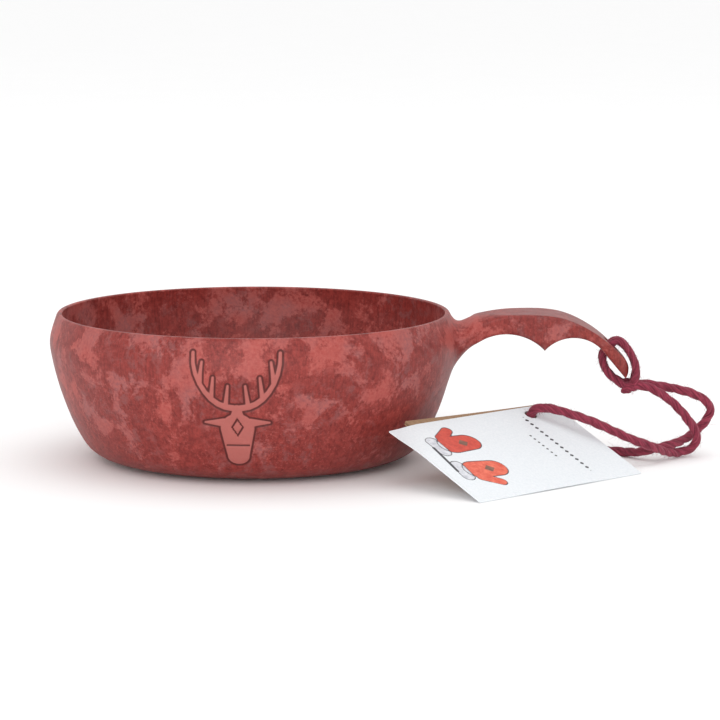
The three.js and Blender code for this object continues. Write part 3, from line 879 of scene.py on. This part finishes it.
# ---------------------------------------------------------------- cards

CARD_HOLE_AT = np.array([96.6, -15.9, 17.3])
CARD_HEADING, CARD_SLOPE = 0.7495, 0.4155  # radians round Z, and up from the floor
CARD_THICKNESS, LAYER_STEP, CARD_HOLE_RADIUS = 0.5, 0.85, 2.3
WHITE_CARD = {"inward": 63.1, "outward": 14.8, "up": 4.8, "down": 42.1}
KRAFT_LEAF = {"inward": 52.6, "outward": 14.0, "up": 8.8, "down": 37.4}
FOLD_CLEARANCE = 1.1  # cut from the lower leaf beside the bent spine
LEAF_ASKEW = 2.7  # how far down the leaflet's upper edge is cut at its outward end
INWARD_SHARE = 0.15  # and at its inward end, as a share of that
UNDERSIDE_ROWS = 24
ALONG = np.array([math.cos(CARD_HEADING), math.sin(CARD_HEADING), 0])
UP_SLOPE = np.array([
    -math.sin(CARD_HEADING) * math.cos(CARD_SLOPE),
    math.cos(CARD_HEADING) * math.cos(CARD_SLOPE),
    math.sin(CARD_SLOPE),
])  # fmt: skip
FACE_UP = np.cross(ALONG, UP_SLOPE)


def in_the_world(x, y, z):
    """Card coordinates as points of the cup's frame: x away from the bowl, y up the slope, z out of
    the card's face."""
    return CARD_HOLE_AT + x[..., None] * ALONG + y[..., None] * UP_SLOPE + z[..., None] * FACE_UP


def holed_sheet(size, spacing, askew):
    """The rims of a flat card with a round hole at the origin: points round its edge, and for each
    the point of the hole's edge that faces it."""
    corners = np.array([
        (size["outward"], size["up"] - askew), (-size["inward"], size["up"] - INWARD_SHARE * askew),
        (-size["inward"], -size["down"]), (size["outward"], -size["down"]),
    ])  # fmt: skip
    sides = []
    for a, b in zip(corners, np.roll(corners, -1, axis=0)):
        steps = max(8, int(np.linalg.norm(b - a) / spacing))
        sides.append(a + (b - a) * np.linspace(0, 1, steps, endpoint=False)[:, None])
    edge = np.vstack(sides)
    return edge, CARD_HOLE_RADIUS * unit(edge)


def sheet_surface(size, z, spacing, lift, cut=0.0, askew=0.0):
    """A card with a hole as one closed surface: across the top from the hole to the edge, over the
    thin side and back under, so each ray from the hole is carried round the card. lift gives how
    far each place is out of the flat. cut is taken off its lower edge."""
    size = {**size, "down": size["down"] - cut}
    edge, inner = holed_sheet(size, spacing, askew)
    steps = int(np.linalg.norm(edge, axis=1).max() / spacing)
    share = np.linspace(0, 1, steps)
    below = np.linspace(1, 0, UNDERSIDE_ROWS)
    out = np.r_[share, 1, below, 0]
    level = np.r_[np.full(steps, 0.5), 0.0, np.full(UNDERSIDE_ROWS, -0.5), 0.0]
    flat = inner + out[:, None, None] * (edge - inner)
    x, y = flat[..., 0], flat[..., 1]
    points = in_the_world(x, y, z + level[:, None] * CARD_THICKNESS + lift(x, y))
    rows, around = x.shape
    here = np.arange(around)
    beside, last = np.roll(here, -1), (rows - 1) * around
    wrap = np.stack([last + here, last + beside, beside, here], -1)
    faces = [grid_quads(rows, around), wrap]
    return points.reshape(-1, 3), faces, x.ravel(), y.ravel(), np.repeat(level, around)


def card_lift(x, y):
    """The board's own bend: the corner over the bowl droops, and the rest bows by a few tenths."""
    droop = -1.15 * smoothstep((-x - 49) / 15) * smoothstep((y + 13) / 19)
    bow = 0.22 * np.sin(np.clip((x + 50) / 50, 0, 1) * np.pi) * smoothstep(-y / 20)
    return droop + bow


def mitten(x, y, wrist, heading, side):
    """The hand, the cuff and the lozenge of a plain mitten that points along its heading from the
    wrist, with its thumb on one side, as distances that are negative inside."""
    u = (x - wrist[0]) * math.cos(heading) + (y - wrist[1]) * math.sin(heading)
    v = side * ((y - wrist[1]) * math.cos(heading) - (x - wrist[0]) * math.sin(heading))
    hand = capsule(u, v, (4.6, 0), (12.6, 0), 5.0, 4.6)
    hand = np.minimum(hand, capsule(u, v, (4.0, 4.4), (9.6, 8.2), 2.3, 2.0))
    cuff = capsule(u, v, (-1.2, -3.4), (-1.2, 3.4), 2.4, 2.4)
    return hand, cuff, np.abs(u - 10.2) + np.abs(v) - 2.1


def ink_shapes(x, y):
    """The printed shapes, as distances that are positive inside: a pair of plain mittens on a dark
    cord, each with a lozenge on its back, and two rows of small lozenges where a title would be."""
    pale, pale_cuff, pale_lozenge = mitten(x, y, (-54.0, -24.5), -0.12, -1)
    dark, dark_cuff, dark_lozenge = mitten(x, y, (-52.0, -9.5), -0.02, 1)
    cuffs, lozenges = np.minimum(pale_cuff, dark_cuff), np.minimum(pale_lozenge, dark_lozenge)
    cord = capsule(x, y, (-57.4, -24.2), (-55.6, -9.6), 0.55, 0.55)
    outline = np.min([np.abs(shape) - 0.2 for shape in (pale, dark, cuffs)], axis=0)
    lines = [outline]
    along = y + 18.5  # from the middle of the rows
    for across, pitch, size, end in ((4.6, 2.6, 0.85, 17.8), (11.3, 2.2, 0.6, 8.2)):
        v = along - np.round(along / pitch) * pitch
        lines.append(np.maximum(np.abs(x + across) + np.abs(v) - size, np.abs(along) - end))
    lines = np.min(lines, axis=0)
    shapes = {"ink_dark_mitten": dark, "ink_pale_mitten": pale, "ink_lozenges": lozenges}
    shapes = {**shapes, "ink_cuffs": cuffs, "ink_cord": cord, "ink_line": lines}
    return {name: -inside for name, inside in shapes.items()}


points, faces, x, y, level = sheet_surface(WHITE_CARD, 0.0, 0.47, card_lift)
inks = {k: np.where(level > 0.4, np.clip(v, -2, 2), -2) for k, v in ink_shapes(x, y).items()}
white_card = mesh_piece("white_swing_card", points, faces, "white_card", inks, 30)
white_card.data.materials.append(BOARD)
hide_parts("white_card")


def leaf_wave(x, y):
    """A leaf's own slight waviness."""
    return 0.07 * np.sin(x / 11.0) * np.sin(y / 9.0 + 0.6)


def fold_bead():
    """The leaflet's bent spine: half a ring across the fold's axis, carried along the leaf's edge."""
    turn = np.linspace(math.pi / 2, 3 * math.pi / 2, 15)
    outer, inner = LAYER_STEP / 2 + CARD_THICKNESS / 2, LAYER_STEP / 2 - CARD_THICKNESS / 2
    half = np.c_[np.cos(turn), np.sin(turn)]
    ring = np.vstack([half * outer, half[::-1] * inner])
    along = np.linspace(-KRAFT_LEAF["inward"], KRAFT_LEAF["outward"], 120)[:, None]
    y = -KRAFT_LEAF["down"] + ring[:, 0][None, :] + 0 * along
    z = -1.5 * LAYER_STEP + ring[:, 1][None, :] + 0 * along
    points = in_the_world(along + 0 * y, y, z)
    rows, around = y.shape
    count = rows * around
    ends = [np.arange(around)[None, ::-1], np.arange(around)[None, :] + count - around]
    return points.reshape(-1, 3), [grid_quads(rows, around), *ends]


def kraft_piece(name, surface, body):
    """A piece of the leaflet from its points and faces."""
    return mesh_piece(name, surface[0], surface[1], body, (), 30)


upper = sheet_surface(KRAFT_LEAF, -LAYER_STEP, 1.1, leaf_wave, 0.0, LEAF_ASKEW)
kraft_upper = kraft_piece("kraft_leaf_upper_board", upper, "leaflet")
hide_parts("kraft_leaf_upper")
kraft_fold = kraft_piece("kraft_leaflet_fold", fold_bead(), "leaflet")
lower = sheet_surface(KRAFT_LEAF, -2 * LAYER_STEP, 1.1, leaf_wave, FOLD_CLEARANCE, LEAF_ASKEW)
kraft_lower = kraft_piece("kraft_leaf_lower_board", lower, "leaflet_back")
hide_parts("kraft_leaf_lower")
for piece in (kraft_upper, kraft_fold, kraft_lower):
    piece.data.materials.append(KRAFT)


# ---------------------------------------------------------------- studio

floor_mesh = bpy.data.meshes.new("paper_floor")
floor_mesh.from_pydata([(-20, -20, 0), (20, -20, 0), (20, 20, 0), (-20, 20, 0)], [], [(0, 1, 2, 3)])
floor_mesh.materials.append(studio_sheet())
paper_floor = bpy.data.objects.new("paper_floor", floor_mesh)
bpy.context.scene.collection.objects.link(paper_floor)

world = bpy.data.worlds.new("studio")
bpy.context.scene.world = world
bpy.context.scene.view_settings.view_transform = "Standard"
world.use_nodes = True
world.node_tree.nodes["Background"].inputs[0].default_value = linear("FFFFFF")
world.node_tree.nodes["Background"].inputs[1].default_value = 1.0


def soft_box(name, at, look_at, size, watts):
    """A square soft light at a place, turned to shine at a point."""
    data = bpy.data.lights.new(name, "AREA")
    data.shape, data.size, data.energy = "SQUARE", size, watts
    lamp = bpy.data.objects.new(name, data)
    bpy.context.scene.collection.objects.link(lamp)
    away = unit(np.array(at, float) - np.array(look_at, float))
    side = unit(np.cross((0.0, 1.0, 0.001), away))
    turn = np.stack([side, np.cross(away, side), away], 1)
    lamp.matrix_world = Matrix.Translation(at) @ Matrix(turn.tolist()).to_4x4()


soft_box("soft_top", (0.1, 0.25, 1.5), (0.02, 0, 0.03), 1.2, 3)
soft_box("soft_front", (-0.2, -1.5, 0.2), (0.02, 0, 0.02), 1.2, 12)
